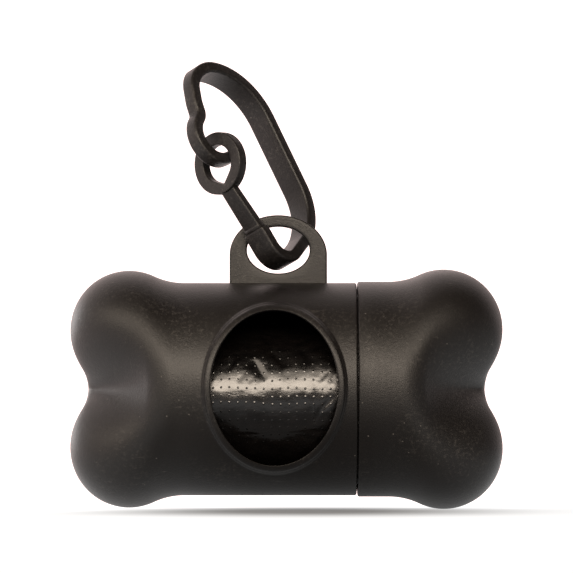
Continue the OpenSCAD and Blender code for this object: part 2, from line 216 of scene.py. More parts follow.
class DispenserStudio(bpy.types.PropertyGroup):
    """Camera and light."""

    azimuth: angle("Azimuth", "Camera angle round the object", 0)
    elevation: angle("Elevation", "Camera angle above the horizon", -2.1)
    distance: length("Distance", "Camera distance", 900)
    frame_width: length("Frame width", "Width seen at the object", 111.7)
    look_up: length("Look up", "Height of the picture's middle above the tube's axis", 20)
    key: number("Key light", "Power of the wide softbox in front, in watts", 6.6)
    # glow: painted light, the floor and sweep glow by themselves and carry a painted shadow in
    # front of the object
    glow: number("Glow", "Brightness of the lit paper under and behind", 1.9)
    strip: number("Strip", "Power of the narrow softbox that the film mirrors, in watts", 1.8)
    side: number("Side light", "Power of the softbox behind at the left, in watts", 0.9)
    fill: number("Surroundings", "Brightness of the white walls", 1.5)
    front: number("Front", "Brightness of the grey room in front", 0.22)
    lamps: colour("Softboxes", "Colour of the two softboxes in front", (1, 0.86, 0.71))
    side_lamp: colour("Side softbox", "Colour of the softbox behind at the left", (1, 1, 1))
    walls: colour("Walls", "Colour of the white walls and the grey room", (1, 0.86, 0.82))


GROUPS = {
    "dispenser_shell": DispenserShell,
    "dispenser_window": DispenserWindow,
    "dispenser_lug": DispenserLug,
    "dispenser_roll": DispenserRoll,
    "dispenser_clip": DispenserClip,
    "dispenser_colours": DispenserColours,
    "dispenser_studio": DispenserStudio,
}


def sizes(group):
    """The scene's sizes of one group, by the last word of its name."""
    return getattr(bpy.context.scene, "dispenser_" + group)


class Frame:
    """Sizes that the packed model gives: boxes of its nodes and radius of its roll bay."""

    def __init__(self):
        body_low, body_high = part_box("main_body")
        cap_low, cap_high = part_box("cap")
        roll_low, roll_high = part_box("bag_roll")
        _, core_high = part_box("roll_core")
        self.half = cap_high.x
        self.tube = body_high.y
        self.lip_height = -body_low.y - body_high.y
        self.lug_top = body_high.z
        self.neck_end = body_high.x
        self.cap_x = cap_low.x
        self.cap = cap_high.y
        self.rise = cap_high.z - cap_high.y
        self.roll = roll_high.y
        self.roll_z = (roll_low.z + roll_high.z) / 2
        self.roll_half = roll_high.x
        self.core = core_high.y
        bay = next(m for m in frame["record"]["mounts"] if m["name"] == "roll_bay")
        self.bore = bay["dims"]["r_mm"] * MM


CAD = Frame()


# ---- Meshes from grids of points -------------------------

def mesh_object(name, patches, sharp=35.0, merge=2e-6):
    """One mesh object from patches, each a grid of points and whether its columns close.

    Neighbouring patches share their border points, which are then merged. Edges that turn by
    more than the sharp angle, in degrees, stay sharp.
    """
    points, quads, offset = [], [], 0
    for grid, closed in patches:
        rows, columns = grid.shape[:2]
        index = np.arange(rows * columns).reshape(rows, columns) + offset
        if closed:
            index = np.concatenate([index, index[:, :1]], axis=1)
        corners = (index[:-1, :-1], index[1:, :-1], index[1:, 1:], index[:-1, 1:])
        quads.append(np.stack(corners, -1).reshape(-1, 4))
        points.append(grid.reshape(-1, 3))
        offset += rows * columns
    points, quads = np.concatenate(points), np.concatenate(quads)
    mesh = bpy.data.meshes.new(name)
    mesh.vertices.add(len(points))
    mesh.vertices.foreach_set("co", points.ravel())
    mesh.loops.add(quads.size)
    mesh.loops.foreach_set("vertex_index", quads.ravel().astype(np.int32))
    mesh.polygons.add(len(quads))
    mesh.polygons.foreach_set("loop_start", np.arange(0, quads.size, 4, dtype=np.int32))
    mesh.update(calc_edges=True)
    work = bmesh.new()
    work.from_mesh(mesh)
    bmesh.ops.remove_doubles(work, verts=work.verts, dist=merge)
    bmesh.ops.dissolve_degenerate(work, edges=work.edges, dist=merge)
    bmesh.ops.recalc_face_normals(work, faces=work.faces)
    work.to_mesh(mesh)
    work.free()
    mesh.shade_smooth()
    mesh.set_sharp_from_angle(angle=math.radians(sharp))
    piece = bpy.data.objects.new(name, mesh)
    bpy.context.scene.collection.objects.link(piece)
    return piece


def finish_piece(piece, body, material, slot, *nodes):
    """Gives a piece its material and body, and hides the CAD nodes that it stands for. The slot
    is not used.
    """
    piece.data.materials.append(material)
    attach(piece, body)
    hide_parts(*nodes)


def ring_points(x, radius, turns):
    """Points round the tube's axis: x along it, and the radius times the turn's sine and
    cosine across it. Turn 0 is up, a quarter turn is the back."""
    x, radius = np.broadcast_arrays(np.asarray(x, float), np.asarray(radius, float))
    shape = np.broadcast_shapes(x.shape, turns.shape)
    x, radius = np.broadcast_to(x, shape), np.broadcast_to(radius, shape)
    return np.stack([x, radius * np.sin(turns), radius * np.cos(turns)], -1)


def lathe(profile, turns):
    """Surface round the tube's axis from [x, radius] stations, each radius plain or by turn."""
    return np.stack([ring_points(x, radius, turns) for x, radius in profile])


def full_turn(steps):
    """Angles evenly round a full turn, without its end."""
    return np.linspace(0, 2 * np.pi, steps, endpoint=False)


def smooth_step(value, low, high):
    """0 below low, 1 above high, and a smooth cubic rise between."""
    t = np.clip((value - low) / (high - low), 0, 1)
    return t * t * (3 - 2 * t)


def left_normals(path):
    """Unit normals at the left of a flat path: its direction turned by a quarter turn."""
    ahead = np.gradient(path, axis=0)
    ahead /= np.linalg.norm(ahead, axis=1, keepdims=True)
    return np.stack([-ahead[:, 1], ahead[:, 0]], -1)


def rounded_section(half_a, half_b, radius, steps=6):
    """Closed outline of a rectangle with round corners, anticlockwise: a quarter circle round
    each corner's centre. Sizes given as a column of numbers give an outline for each."""
    corner = np.linspace(0, np.pi / 2, steps)
    parts = []
    for quarter, (sa, sb) in enumerate(((1, 1), (-1, 1), (-1, -1), (1, -1))):
        turn = corner + quarter * np.pi / 2
        parts.append(np.stack([sa * (half_a - radius) + radius * np.cos(turn),
                               sb * (half_b - radius) + radius * np.sin(turn)], -1))
    return np.concatenate(parts, -2)


# ---- Bone ends -------------------------------------------

def end_profiles(radius, inset, way):
    """Lobe and front profiles of a bone end as [distance from the tip, from the axis].

    way runs from 0 at the notch's bottom to 1 at the tube, by length along each profile. The
    lobe profile is three tangent arcs, notch, lobe and flare. The front profile is a nose arc,
    a straight slope that touches both arcs, a shoulder arc and a level run.
    """
    s = sizes("shell")
    lobe, flare, notch = s.lobe_radius, s.flare_radius, s.notch_depth
    off = radius + CAD.rise - lobe
    notch_r = ((lobe - notch) ** 2 + off ** 2 - lobe ** 2) / (2 * notch)
    up = radius + flare - off
    start = lobe + math.sqrt((flare + lobe) ** 2 - up ** 2)
    first = math.atan2(off, lobe - notch + notch_r)
    last = math.atan2(up, start - lobe)
    arcs = (notch_r * first, lobe * (math.pi + first - last), flare * (math.pi / 2 - last))
    run = way * sum(arcs)
    notch_a = run / notch_r
    lobe_a = math.pi + first - (run - arcs[0]) / lobe
    flare_a = math.pi + last + (run - arcs[0] - arcs[1]) / flare
    parts = [
        (notch - notch_r, 0, notch_r + inset, notch_a),
        (lobe, off, lobe - inset, lobe_a),
        (start, radius + flare, flare + inset, flare_a),
    ]
    here = [run <= arcs[0], run <= arcs[0] + arcs[1]]
    along = np.select(here, [c + r * np.cos(a) for c, _, r, a in parts[:2]],
                      parts[2][0] + parts[2][2] * np.cos(parts[2][3]))
    away = np.select(here, [c + r * np.sin(a) for _, c, r, a in parts[:2]],
                     parts[2][1] + parts[2][2] * np.sin(parts[2][3]))
    nose = np.array([notch + s.nose, 0])
    bend = np.array([start - s.level, radius - s.bend])
    gap = bend - nose
    apart = math.hypot(*gap)
    lean = math.atan2(gap[1], gap[0]) + math.acos((s.nose - s.bend) / apart)
    slope = math.sqrt(apart ** 2 - (s.nose - s.bend) ** 2)
    legs = (s.nose * (math.pi - lean), slope, s.bend * (lean - math.pi / 2), s.level)
    run = (way * sum(legs))[:, None]
    ahead = np.array([math.sin(lean), -math.cos(lean)])
    nose_a = math.pi - run / s.nose
    bend_a = lean - (run - legs[0] - legs[1]) / s.bend

    def arc(centre, r, a):
        return centre + r * np.concatenate([np.cos(a), np.sin(a)], 1)

    side = np.array([math.cos(lean), math.sin(lean)])
    front = np.select(
        [run <= legs[0], run <= legs[0] + slope, run <= sum(legs[:3])],
        [arc(nose, s.nose - inset, nose_a),
         nose + (s.nose - inset) * side + (run - legs[0]) * ahead,
         arc(bend, s.bend - inset, bend_a)],
        bend + (run - sum(legs[:3])) * [1, 0] + [0, s.bend - inset])
    return np.stack([along, away], -1), front, start


LOBE_POWER = 4.2  # the higher, the fuller the lobes towards the front
OPEN = 1  # a limit in metres that no shell reaches


def end_grid(radius, inset, side, turns, limit):
    """Surface of a bone end: the lobe profile upright, the front profile level, and between
    them a mix whose share of the front is a power of the turn's sine, so that each lobe stays
    full towards the front. side is 1 at the cap, -1 at the body, and no point lies further
    from the axis than the limit."""
    s = sizes("shell")
    way = np.linspace(0, 1, s.along + 1)
    lobe, front, _ = end_profiles(radius, inset, way)
    share = 1 - np.abs(np.sin(turns))[None, :] ** LOBE_POWER
    along = share * lobe[:, :1] + (1 - share) * front[:, :1]
    away = np.minimum(share * lobe[:, 1:] + (1 - share) * front[:, 1:], limit)
    return ring_points(side * (CAD.half - along), away, turns[None, :])


def end_start(radius):
    """Where the straight tube begins, measured from the tip."""
    return end_profiles(radius, 0, np.array([1.0]))[2]


# ---- Body shell ------------------------------------------

PATCH_HALF = math.radians(67.5)  # the window's patch reaches this far up and down the tube
PATCH_STEPS = 60  # steps along the patch's upper and lower edges
PATCH_ROWS = 26  # loops from the patch's border to the oval
PATCH_BUNCH = 0.85  # below 1, the loops lie closer together near the oval
WALL_PLACES = np.linspace(0.15, 1, 6)  # shares of the way from the lip in to the bore
# The lip's profile: distance past the window's edge in mm, and share of the lip's height
LIP = ((1.9, 0), (1.78, 0.03), (1.68, 0.12), (1.6, 0.26), (1.5, 0.37), (1.38, 0.45),
       (1.27, 0.57), (1.2, 0.75), (1.1, 0.91), (0.94, 0.99), (0.6, 1.0), (0.28, 0.99),
       (0.12, 0.93), (0.03, 0.82), (0, 0.68))


def window_loop(radius, x_range, offset):
    """Border of the window's patch as places along the tube and turns up from the front, and
    the oval in it as [x, z] points. Each oval point lies at the angle of its border point,
    moved out by the offset."""
    w = sizes("window")
    steps = sizes("shell").around
    up = np.linspace(-PATCH_HALF, PATCH_HALF, round(steps * PATCH_HALF / math.pi) + 1)
    x0, x1 = x_range
    across = np.linspace(x1, x0, PATCH_STEPS + 1)
    xs = np.concatenate([np.full(len(up) - 1, x1), across[:-1],
                         np.full(len(up) - 1, x0), across[::-1][:-1]])
    phi = np.concatenate([up[:-1], np.full(PATCH_STEPS, PATCH_HALF),
                          up[::-1][:-1], np.full(PATCH_STEPS, -PATCH_HALF)])
    around = np.arctan2(phi / PATCH_HALF, (xs - (x0 + x1) / 2) / ((x1 - x0) / 2))
    oval, normal = oval_loop(w.width / 2, w.height / 2, around)
    oval = oval + np.array([w.centre, 0]) + offset * normal
    return xs, phi, oval


def oval_loop(half_a, half_b, around):
    """Oval points, its half sizes times cosine and sine of the angles, and their outward
    normals, each half size times the other's part."""
    points = np.stack([half_a * np.cos(around), half_b * np.sin(around)], -1)
    normal = np.stack([half_b * np.cos(around), half_a * np.sin(around)], -1)
    return points, normal / np.linalg.norm(normal, axis=1, keepdims=True)


def window_patch(radius, x_range, offset):
    """Part of a tube's front round the window: loops that pass from its border to an oval, by
    a straight mix of the places and the turns of both."""
    xs, phi, oval = window_loop(radius, x_range, offset)
    inner_phi = np.arcsin(oval[:, 1] / radius)
    part = np.linspace(0, 1, PATCH_ROWS + 1)[:, None] ** PATCH_BUNCH
    x = xs + (oval[:, 0] - xs) * part
    a = phi + (inner_phi - phi) * part
    return np.stack([x, -radius * np.cos(a), radius * np.sin(a)], -1)


def window_edge(x_range):
    """The lip and the window's wall: the lip's profile carried round the oval, its heights
    measured from the tube's axis, and then straight in to the bore."""
    rows = []
    for offset, height in LIP:
        oval = window_loop(CAD.tube, x_range, offset * MM)[2]
        level = CAD.tube + height * CAD.lip_height
        rows.append(np.stack([oval[:, 0], -np.sqrt(level ** 2 - oval[:, 1] ** 2),
                              oval[:, 1]], -1))
    oval = window_loop(CAD.bore, x_range, 0)[2]
    inner = np.stack([oval[:, 0], -np.sqrt(CAD.bore ** 2 - oval[:, 1] ** 2), oval[:, 1]], -1)
    for part in WALL_PLACES:
        rows.append(rows[len(LIP) - 1] * (1 - part) + inner * part)
    return np.stack(rows)


NECK_STEPS = 720  # steps round the neck and its socket, whose ribs are narrow
RIB_FLANK = 0.1 * MM  # half the width over which a rib or the key rises
SLOT_FLANK = 0.08 * MM  # the same for the key's slot in the socket
RIB_END = (0.8 * MM, 0.5 * MM)  # the ribs fade out between these distances from the neck's end
NECK_BEVEL = 0.25 * MM  # bevel outside the neck's end
BORE_BEVEL = 0.2 * MM  # bevel inside the neck's end
# Rounded rim between its two chamfer ends: distance in from the face, and in from the skin
RIM_ROUND = ((0.2 * MM, 0.04 * MM), (0.04 * MM, 0.2 * MM))


def rim_stations(face, way, skin):
    """Stations of a rounded rim from the skin to the face; way is 1 or -1, into the part."""
    chamfer = sizes("shell").chamfer
    steps = ((chamfer, 0), *RIM_ROUND, (0, chamfer))
    return [(face + way * back, skin - down) for back, down in steps]


def neck_radii(turns, part):
    """Radius of the neck by turn: friction ribs and the key at the back, scaled by part."""
    s = sizes("shell")
    base = s.neck_radius - s.rib_height
    pitch = 2 * np.pi / s.rib_count
    off = np.abs((turns % pitch) - pitch / 2) * base
    rib = 1 - smooth_step(off, s.rib_width / 2 - RIB_FLANK, s.rib_width / 2 + RIB_FLANK)
    back = np.abs(turns - np.pi / 2) * base
    key = 1 - smooth_step(back, s.key_width / 2 - RIB_FLANK, s.key_width / 2 + RIB_FLANK)
    key_height = (CAD.cap + s.neck_radius) / 2 - base
    return base + part * np.maximum(rib * s.rib_height, key * key_height)


def body_patches():
    """Outer skin, window, neck, bore and hollow end of the main body."""
    s = sizes("shell")
    w = sizes("window")
    turns, fine = full_turn(s.around), full_turn(NECK_STEPS)
    parting = CAD.cap_x - s.parting_gap
    rim = parting - s.chamfer
    foot = w.width / 2 + LIP[0][0] * MM
    x_range = (w.centre - foot - w.margin, rim)
    cut = round(s.around * PATCH_HALF / (2 * np.pi))
    front = 3 * s.around // 4
    keep = turns[(np.arange(s.around - 2 * cut + 1) + front + cut) % s.around]
    root = -CAD.half + end_start(CAD.tube)
    base = s.neck_radius - s.rib_height
    xs = np.linspace(*x_range, PATCH_STEPS + 1)
    end = CAD.neck_end
    return [
        (end_grid(CAD.tube, 0, -1, turns, OPEN), True),
        (lathe([(x, CAD.tube) for x in np.linspace(root, x_range[0], 4)], turns), True),
        (lathe([(x, CAD.tube) for x in xs], keep), False),
        (window_patch(CAD.tube, x_range, LIP[0][0] * MM), True),
        (window_edge(x_range), True),
        (window_patch(CAD.bore, x_range, 0), True),
        (lathe([(x, CAD.bore) for x in xs], keep), False),
        (lathe([(x, CAD.bore) for x in np.linspace(root, x_range[0], 3)], turns), True),
        (end_grid(CAD.tube, s.wall, -1, turns, CAD.bore), True),
        (lathe([*rim_stations(parting, -1, CAD.tube),
                (parting, (CAD.tube + base) / 2), (parting, base)], turns), True),
        (lathe([(parting, base), (parting, neck_radii(fine, 1)),
                (end - RIB_END[0], neck_radii(fine, 1)), (end - RIB_END[1], neck_radii(fine, 0)),
                (end - NECK_BEVEL, base), (end, base - NECK_BEVEL),
                (end, CAD.bore + BORE_BEVEL), (end - BORE_BEVEL, CAD.bore),
                (rim, CAD.bore)], fine), True),
    ]


LUG_STEPS = 160  # steps round the lug
LUG_FOOT = 0.6 * MM  # height of the lug's hidden foot over the bore
FACE_PLACES = (0.25, 0.5, 0.75)  # shares of the way over the lug's face, from eye to edge


def lug_patches():
    """The lug: rings that pass from the eye's wall over both faces to its outer edge."""
    g = sizes("lug")
    half, r = g.thickness / 2, g.rounding
    eye_z = CAD.tube + g.eye_rise
    arch_z = CAD.lug_top - g.arch
    foot_z = CAD.bore + LUG_FOOT
    around = full_turn(LUG_STEPS)
    eye, out = oval_loop(g.eye_width / 2, g.eye_height / 2, around)
    eye = eye + np.array([g.centre, eye_z])
    edge = lug_border(around, g.centre, eye_z, g.width / 2, arch_z, g.arch, foot_z)
    inward = left_normals(np.concatenate([edge[-1:], edge, edge[:1]]))[1:-1]
    corner = np.linspace(0, np.pi / 2, 5)
    loops = []
    for side in (1, -1):
        wall = [(eye + out * r * (1 - math.cos(a)), side * (half - r + r * math.sin(a)))
                for a in corner]
        face = [(eye + out * r + (edge + inward * r - eye - out * r) * t, side * half)
                for t in FACE_PLACES]
        rim = [(edge + inward * r * (1 - math.sin(a)), side * (half - r + r * math.cos(a)))
               for a in corner]
        loops.append(wall + face + rim)
    order = loops[0] + loops[1][::-1] + loops[0][:1]
    return [(np.stack([np.stack([p[:, 0], np.full(len(p), -y), p[:, 1]], -1)
                       for p, y in order]), True)]


def lug_border(around, centre, eye_z, half_width, arch_z, arch, foot_z):
    """Where rays from the eye's centre meet the lug's outline: above the arch's foot on its
    ellipse, at the length that solves a quadratic, and below it on the nearer of side and
    foot."""
    dx, dz = np.cos(around), np.sin(around)
    low = eye_z - arch_z
    qa = (dx / half_width) ** 2 + (dz / arch) ** 2
    qb = 2 * low * dz / arch ** 2
    qc = (low / arch) ** 2 - 1
    t = (-qb + np.sqrt(qb * qb - 4 * qa * qc)) / (2 * qa)
    straight = np.minimum(half_width / np.maximum(np.abs(dx), 1e-9),
                          (foot_z - eye_z) / np.minimum(dz, -1e-9))
    t = np.where(low + t * dz < 0, straight, t)
    return np.stack([centre + t * dx, eye_z + t * dz], -1)


# ---- Cap -------------------------------------------------

RIM_BAND = 0.3 * MM  # width of the evenly round band inside the cap's rim
SOCKET_BEVEL = 0.12 * MM  # bevel at the socket's mouth


def socket_radii(turns):
    """Radius of the cap's socket by turn, with the slot for the key at the back."""
    s = sizes("shell")
    round_r = s.neck_radius + s.fit
    slot_r = (CAD.cap + s.neck_radius) / 2 + s.key_fit
    half = s.key_width / 2 + s.key_fit
    back = np.abs(turns - np.pi / 2) * round_r
    return slot_r + (round_r - slot_r) * smooth_step(back, half - SLOT_FLANK, half + SLOT_FLANK)


def cap_patches():
    """Outer skin, rim, socket and hollow end of the cap."""
    s = sizes("shell")
    turns, fine = full_turn(s.around), full_turn(NECK_STEPS)
    root = CAD.half - end_start(CAD.cap)
    floor = CAD.neck_end + s.parting_gap + s.socket_gap
    socket = socket_radii(fine)
    rim = CAD.cap - s.chamfer
    return [
        (end_grid(CAD.cap, 0, 1, turns, OPEN), True),
        (lathe([(root, CAD.cap), ((root + CAD.cap_x) / 2, CAD.cap),
                *rim_stations(CAD.cap_x, 1, CAD.cap)], turns), True),
        (lathe([(CAD.cap_x, rim), (CAD.cap_x, np.maximum(socket, rim - RIM_BAND)),
                (CAD.cap_x, socket + SOCKET_BEVEL), (CAD.cap_x + SOCKET_BEVEL, socket),
                (floor, socket), (floor, CAD.bore), (root, CAD.bore)], fine), True),
        (end_grid(CAD.cap, s.wall, 1, turns, CAD.bore), True),
    ]


# ---- Roll of bags ----------------------------------------

# Folds pressed into the film: [x, z] of both ends on the front, depth, and how far the fold
# reaches to the left and to the right of its line, in mm
FOLDS = (
    ((-6.4, 5.9), (-4.0, 1.6), 0.26, 0.45, 1.3),
    ((-3.3, 7.4), (-0.2, 3.9), 0.3, 1.5, 0.5),
    ((-4.9, 8.2), (-4.2, 4.6), -0.16, 0.9, 0.9),
    ((5.3, 0.9), (5.6, -7.2), 0.12, 0.2, 0.35),
    ((5.9, -5.2), (9.0, -1.6), 0.16, 0.35, 0.7),
    ((6.2, -4.6), (5.2, -7.0), 0.1, 0.3, 0.5),
    ((-11.6, 2.6), (-9.2, 7.0), 0.12, 0.5, 1.2),
    ((-9.4, 1.0), (-7.6, 3.4), 0.07, 0.25, 0.6),
    ((-7.2, 0.9), (-5.9, 2.7), 0.06, 0.25, 0.5),
    ((2.6, 7.8), (4.6, 4.6), 0.14, 1.1, 0.5),
    ((6.0, 1.0), (8.4, 3.6), 0.1, 0.3, 0.6),
    ((7.9, 0.6), (9.6, 2.6), 0.08, 0.25, 0.5),
    ((8.2, 6.6), (10.6, 3.0), 0.14, 0.9, 0.5),
)
FOLD_FADE = 0.8  # below 1, a fold keeps its depth until nearer its ends
RIPPLES = 16  # slow waves that add up to the film's unevenness
RIPPLE_SPREAD = (520, 380)  # spread of the waves' rates along and round, in rad/m
FREE_EDGE = (-8.6, 0.9, 18)  # z of the film's free edge, its tilt and its run, in mm
EDGE_FLANK = 0.12 * MM  # half the width of the free edge's step
CREST = 0.12 * MM  # ripples are cut off at this height, which is the wound roll's own radius
SEED_FILM, SEED_ENDS = 7, 11

END_RINGS = 73  # rings from the rim of the roll's end to its core
WIND_DEPTH = 0.12 * MM  # how deep the windings of an end stand in
WAVES = (2, 3, 5, 7)  # waves round an end, added up
WAVE_DEPTH = 0.06 * MM  # height of each of them
WAVE_TWIST = 5  # how far they wind round between the rim and the core
FLAT_RIMS = 0.04  # share of the end's width over which it flattens at each rim


def wrap_to(angle_array, middle):
    """Angles brought within half a turn of a middle angle."""
    return (angle_array - middle + np.pi) % (2 * np.pi) - np.pi


def film_height(x, turns):
    """Height of the film over the wound roll: seeded slow ripples, folds that fall off as a
    bell curve to both sides of their lines and fade to their ends, and a step down past the
    film's free edge."""
    r = sizes("roll")
    rng = np.random.default_rng(SEED_FILM)
    up = CAD.roll * wrap_to(turns, 1.5 * np.pi)      # distance round the roll, front = 0
    height = np.zeros(np.broadcast_shapes(x.shape, turns.shape))
    for _ in range(RIPPLES):
        kx, ku = (rng.normal(0, spread) for spread in RIPPLE_SPREAD)
        height += r.ripple * np.sin(kx * x + ku * up + rng.uniform(0, 2 * np.pi))
    for (xa, za), (xb, zb), depth, left, right in FOLDS:
        a = np.array([xa, math.asin((za * MM - CAD.roll_z) / CAD.roll) * CAD.roll / MM])
        b = np.array([xb, math.asin((zb * MM - CAD.roll_z) / CAD.roll) * CAD.roll / MM])
        px, pu = x / MM - a[0], up / MM - a[1]
        along = b - a
        size = np.linalg.norm(along)
        t = (px * along[0] + pu * along[1]) / size ** 2
        off = (px * along[1] - pu * along[0]) / size * np.sign(-along[1])
        reach = np.where(off < 0, left, right)
        fade = np.sin(np.pi * np.clip(t, 0, 1)) ** FOLD_FADE
        height -= depth * MM * fade * np.exp(-(off / reach) ** 2)
    middle, tilt, run = FREE_EDGE
    edge = (middle * MM - CAD.roll_z) + tilt * MM * np.sin(x / (run * MM))
    height -= r.edge_step * (1 - smooth_step(up, edge - EDGE_FLANK, edge + EDGE_FLANK))
    return np.minimum(height, CREST) - CREST


def roll_patches():
    """The film roll: rippled outside, and wound ends whose edges stand in and out by winding."""
    r = sizes("roll")
    turns = full_turn(r.around)[None, :]
    xs = np.linspace(-CAD.roll_half, CAD.roll_half, r.along + 1)[:, None]
    radius = CAD.roll + film_height(xs, turns)
    to_roll = np.array([0, 0, CAD.roll_z])
    patches = [(ring_points(xs, radius, turns) + to_roll, True)]
    rng = np.random.default_rng(SEED_ENDS)
    part = np.linspace(0, 1, END_RINGS)[:, None]
    for side, row in ((-1, 0), (1, -1)):
        rim = radius[row][None, :]
        away = rim + (CAD.core - rim) * part
        wind = (CAD.roll - away) / r.wind_pitch - turns / (2 * np.pi)
        depth = WIND_DEPTH * (0.5 - 0.5 * np.cos(2 * np.pi * wind))
        bumps = sum(WAVE_DEPTH * np.sin(k * turns + WAVE_TWIST * part * k + rng.uniform(0, 6.28))
                    for k in WAVES)
        fade = smooth_step(part, 0, FLAT_RIMS) * (1 - smooth_step(part, 1 - FLAT_RIMS, 1))
        x = side * (CAD.roll_half - (depth + np.abs(bumps)) * fade)
        patches.append((ring_points(x, away, turns) + to_roll, True))
    return patches


# ---- Clip ------------------------------------------------

def clip_runs():
    """Straight length and arc radius in mm, and arc angle in degrees, of each run of the band
    from the gate's root round the bend, spine, top and hook to the nose."""
    spine = sizes("clip").spine / MM
    return ((4.5, 3.8, 105), (4.5, 11.7, 67.5), (spine, 13.3, 71.5), (0.6, 5.2, 85),
            (2.2, 7.5, 11.5), (1.1, 2.4, -47.5), (0.3, 4.8, 153.5), (2.5, 1, 0))


BAND_HEADING = math.radians(-84)  # direction in which the band leaves the gate's root
BAND_STEP = 0.25  # length in mm of one step along the band
BAND_ROUNDING, ARM_ROUNDING = 0.55 * MM, 0.5 * MM
NOSE_ROUND, NOSE_END = 1.0, 0.45  # mm over which the nose rounds off, and to what share
NOSE_LEAST = 0.02  # the nose's rounding stops short of its very tip
HEEL_ROUND, HEEL_END = 0.3, 0.85  # the same for the band's end at the root
HEEL_START = 0.3  # share of the heel's rounding that lies past the band's end
ARM_ROWS, DRUM_STEPS, RING_STEPS = 40, 48, 144
DRUM_BEVEL = 0.25 * MM  # bevel of the gate's round root


def shares(length):
    """Shares of the way at the ends of a length's even steps."""
    steps = max(1, round(length / BAND_STEP))
    return np.arange(1, steps + 1)[:, None] / steps


def band_path():
    """Centre line of the band in the clip's plane, in metres, and where the nose begins. Each
    run goes straight on and then round a centre that lies its radius away to one side."""
    c = sizes("clip")
    here, heading = np.array([c.root_x, c.root_z]) / MM, BAND_HEADING
    points, nose = [here[None]], here
    for straight, radius, degrees in clip_runs():
        nose = here
        ahead = np.array([math.cos(heading), math.sin(heading)])
        points.append(here + straight * shares(straight) * ahead)
        here = points[-1][-1]
        if degrees:
            out, sweep = math.copysign(radius, degrees), math.radians(degrees)
            centre = here + out * np.array([-ahead[1], ahead[0]])
            a = heading + sweep * shares(radius * abs(sweep))
            points.append(centre + out * np.concatenate([np.sin(a), -np.cos(a)], 1))
            here = points[-1][-1]
            heading += sweep
    return np.concatenate(points) * MM, nose * MM


def clip_matrix():
    """Place of the clip's plane: its own x across the clip and z along it."""
    c = sizes("clip")
    g = sizes("lug")
    eye_bottom = CAD.tube + g.eye_rise - g.eye_height / 2
    place = Vector((g.centre + c.side, c.front, eye_bottom + c.above))
    return np.array(Euler(c.turn, "XYZ").to_matrix()), np.array(place)


def placed(points):
    """Points of the clip's own plane brought to the row frame."""
    turn, place = clip_matrix()
    return points @ turn.T + place


ROUND_MOST = 0.9  # a corner's radius stays under this share of the section's half sizes


def sweep_band(path, half_width, half_thick, rounding):
    """Rounded band along a flat path, closed at both ends by points at their middles. At each
    path point the section's width stands across the clip's plane and its thickness lies along
    the path's left normal."""
    left = left_normals(path)[:, None]
    wide, thick = half_width[:, None], half_thick[:, None]
    radius = np.minimum(rounding, ROUND_MOST * np.minimum(thick, wide))
    outline = rounded_section(wide, thick, radius)
    flat = path[:, None] + left * outline[..., 1:]
    rows = np.stack([flat[..., 0], outline[..., 0], flat[..., 1]], -1)
    ends = [np.broadcast_to(rows[k].mean(0), rows[:1].shape) for k in (0, -1)]
    return np.concatenate([ends[0], rows, ends[1]])


def quarter_round(way):
    """Height of a quarter circle over a share of its width: the root of 1 - (1 - way) squared."""
    return np.sqrt(1 - (1 - np.clip(way, 0, 1)) ** 2)


def frame_patches():
    """The clip's band. Past the spine its width falls smoothly with the place across the
    clip, and towards both ends its section shrinks along a quarter circle."""
    c = sizes("clip")
    path, _ = band_path()
    run = np.concatenate([[0], np.cumsum(np.linalg.norm(np.diff(path, axis=0), axis=1))])
    path, run = path[run >= c.seat_drop], run[run >= c.seat_drop]
    past_spine = run > run[np.argmax(path[:, 0])]
    slim = 1 - smooth_step(path[:, 0], c.slim_to, c.full_from)
    wide = (c.band_width + (c.hook_width - c.band_width) * slim * past_spine) / 2
    thick = np.full(len(path), c.thickness / 2)
    left = (run[-1] - run) / (NOSE_ROUND * MM)
    tip = quarter_round(np.maximum(left, NOSE_LEAST))
    heel = quarter_round((run - run[0]) / (HEEL_ROUND * MM) + HEEL_START)
    squeeze = np.minimum(NOSE_END + (1 - NOSE_END) * tip, HEEL_END + (1 - HEEL_END) * heel)
    return [(placed(sweep_band(path, wide * squeeze, thick * squeeze, BAND_ROUNDING)), True)]


def gate_patches():
    """The gate: its round root, the arm and the ring, a rounded section carried round."""
    c = sizes("clip")
    root = np.array([c.root_x, c.root_z])
    centre = band_path()[1] - np.array([c.ring_back, c.ring_drop])
    lean = np.array([math.sin(c.ring_lean), math.cos(c.ring_lean)])
    wall = (c.ring_diameter - c.ring_hole) / 2
    foot = centre - (c.ring_hole + wall) / 2 * lean
    steps = np.linspace(0, 1, ARM_ROWS)
    arm = root + (foot - root) * steps[:, None]
    width = c.root_width + (c.gate_width - c.root_width) * steps
    thick = np.full(ARM_ROWS, c.gate_thickness / 2)
    arm_rows = sweep_band(arm, width / 2, thick, ARM_ROUNDING)
    turns = full_turn(DRUM_STEPS)
    circle = np.stack([np.sin(turns), 0 * turns, np.cos(turns)], -1)
    r = c.thickness / 2 - c.root_inset
    half = c.root_width / 2
    side = ((half, 0), (half, r - DRUM_BEVEL), (half - DRUM_BEVEL, r))
    stations = [(-y, radius) for y, radius in side] + list(side[::-1])
    drum = np.stack([np.array([root[0], y, root[1]]) + radius * circle for y, radius in stations])
    return [(placed(arm_rows), True), (placed(drum), True),
            (placed(ring_grid(centre, lean)), True)]


